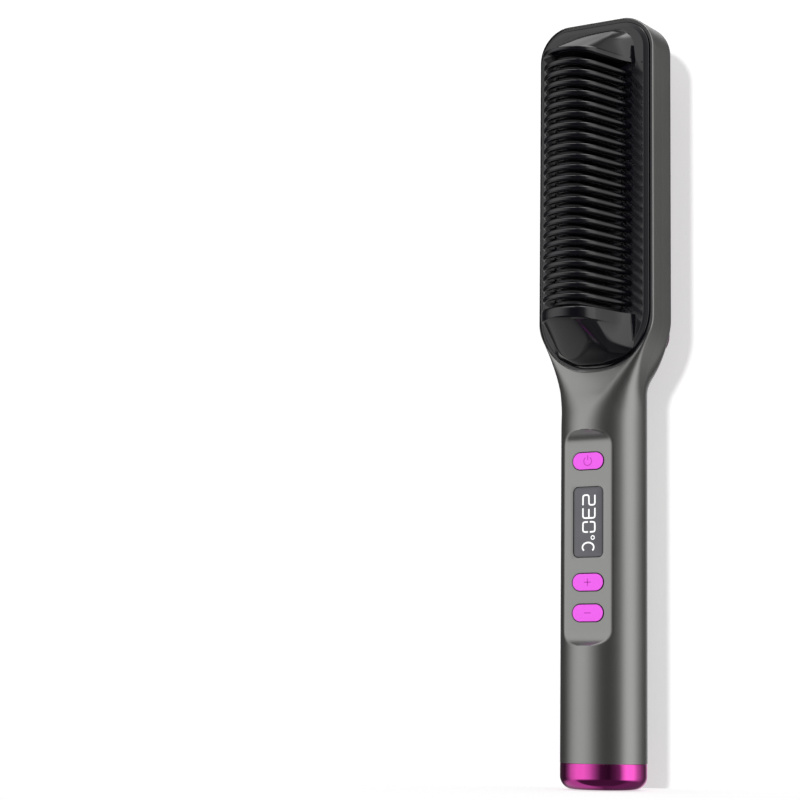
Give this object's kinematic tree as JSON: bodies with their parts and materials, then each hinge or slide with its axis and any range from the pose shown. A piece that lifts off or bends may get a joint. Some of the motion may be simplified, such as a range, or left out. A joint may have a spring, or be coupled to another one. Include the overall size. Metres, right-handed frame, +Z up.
{
  "type": "heated hair straightening brush",
  "caption": "Handheld heated hair straightening brush: arched guard ribs over a hot comb, push buttons and a display in a round handle, and a swivelling cord gland.",
  "frame": {"origin": "centre of the cord gland's bore in the end cap's flat bottom face", "axes": "+Z up the handle to the head, -Y towards the comb side, +X to the right when the comb side faces the viewer"},
  "size_m": [0.045, 0.0492, 0.27],
  "materials": {
    "housing": "satin gunmetal grey paint on moulded plastic",
    "pink_chrome": "pink tinted chrome plating",
    "back_cover": "glossy grey plastic with a faint faceted relief",
    "guard": "glossy black heat-resistant plastic",
    "gasket": "glass-filled silicone sheet",
    "heating_comb": "die-cast aluminium with a dark ceramic coat",
    "heater": "ceramic heater in white insulation",
    "steel": "plated steel",
    "tray": "heat-resistant moulded plastic",
    "component": "black electronic component",
    "board": "green circuit board",
    "window": "smoked clear plastic",
    "button": "glossy pink plastic",
    "gland": "black moulded plastic bush"
  },
  "bodies": {
    "body": {"front_housing": "housing", "back_housing": "housing", "trim_ring": "pink_chrome", "back_cover": "back_cover", "comb_cover": "guard", "heat_gasket": "gasket", "heating_comb": "heating_comb", "heater_elements": "heater", "heater_clamp": "steel", "insulation_tray": "tray", "thermal_fuse": "steel", "thermistor": "component", "heater_leads": "heater", "sensor_leads": "component", "control_board": "board", "board_header": "component", "display_module": "component", "display_window": "window", "power_switch": "component", "plus_switch": "component", "minus_switch": "component", "power_board": "board", "capacitor": "component", "triac": "component", "terminal_block": "component", "end_cap": "pink_chrome", "gland_retainer": "steel", "retainer_screws": "steel", "comb_screws": "steel", "housing_screws": "steel", "board_screws": "steel"},
    "power_key": {"power_button": "button"},
    "plus_key": {"plus_button": "button"},
    "minus_key": {"minus_button": "button"},
    "gland": {"cord_gland": "gland"}
  },
  "joints": [
    {"name": "power_press", "type": "slide", "parent": "body", "child": "power_key", "axis": [0, 1, 0], "range_m": [0, 0.0006], "stiffness_N_per_m": 400, "springref_m": -0.0004},
    {"name": "plus_press", "type": "slide", "parent": "body", "child": "plus_key", "axis": [0, 1, 0], "range_m": [0, 0.0006], "stiffness_N_per_m": 400, "springref_m": -0.0004},
    {"name": "minus_press", "type": "slide", "parent": "body", "child": "minus_key", "axis": [0, 1, 0], "range_m": [0, 0.0006], "stiffness_N_per_m": 400, "springref_m": -0.0004},
    {"name": "gland_swivel", "type": "hinge", "parent": "body", "child": "gland", "pos_m": [0, 0, 0], "axis": [0, 0, 1], "continuous": true}
  ]
}
